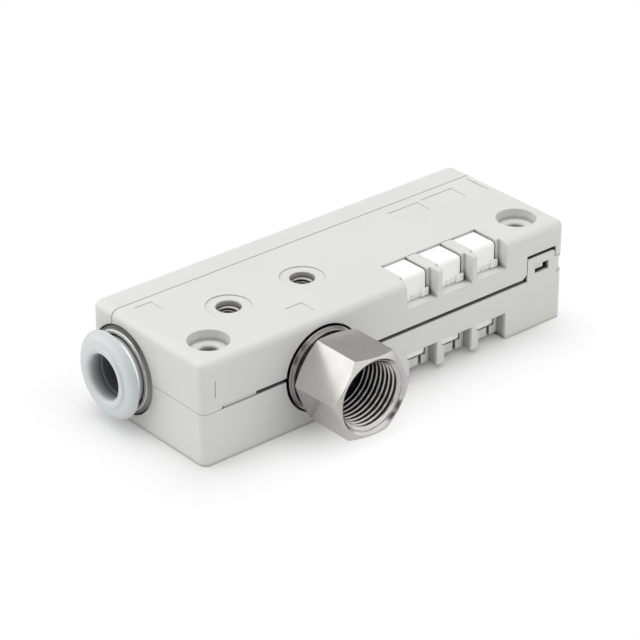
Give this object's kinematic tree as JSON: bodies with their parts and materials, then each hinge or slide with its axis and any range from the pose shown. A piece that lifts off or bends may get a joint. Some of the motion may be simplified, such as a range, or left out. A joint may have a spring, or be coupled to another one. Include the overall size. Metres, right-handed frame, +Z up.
{
  "type": "vacuum ejector",
  "caption": "Flat box-shaped vacuum ejector with a push-in air fitting on one end, a hexagonal threaded vacuum port and silenced exhaust windows on the front, and mounting holes.",
  "frame": {"origin": "centre of the flat base", "axes": "+X along the length away from the tube fitting, -Y towards the vacuum port, +Z up"},
  "size_m": [0.1117, 0.0557, 0.025],
  "materials": {
    "housing": "satin",
    "button": "satin",
    "silencer": "porous matte",
    "clear_clip": "translucent",
    "steel": "turned",
    "brass": "turned",
    "diffuser_metal": "turned",
    "inner_resin": "moulded",
    "seal_rubber": "moulded"
  },
  "bodies": {
    "housing": {"upper_body": "housing", "rear_cover": "housing", "lower_cover": "housing", "ejector_barrel": "inner_resin", "nozzle": "brass", "nozzle_o_ring": "seal_rubber", "diffuser": "diffuser_metal", "diffuser_o_ring_inlet": "seal_rubber", "diffuser_o_ring_outlet": "seal_rubber", "tube_guide_ring": "steel", "tube_collet": "steel", "tube_seal": "seal_rubber", "vacuum_adapter": "steel", "adapter_o_ring": "seal_rubber", "silencer_1": "silencer", "silencer_2": "silencer", "silencer_3": "silencer", "silencer_clip_1": "clear_clip", "silencer_clip_2": "clear_clip", "silencer_clip_3": "clear_clip", "thread_insert_1": "steel", "thread_insert_2": "steel"},
    "release_button": {"tube_release_button": "button"}
  },
  "joints": [
    {"name": "button_press", "type": "slide", "parent": "housing", "child": "release_button", "axis": [1, 0, 0], "range_m": [0, 0.0012], "stiffness_N_per_m": 500, "springref_m": -0.002}
  ]
}
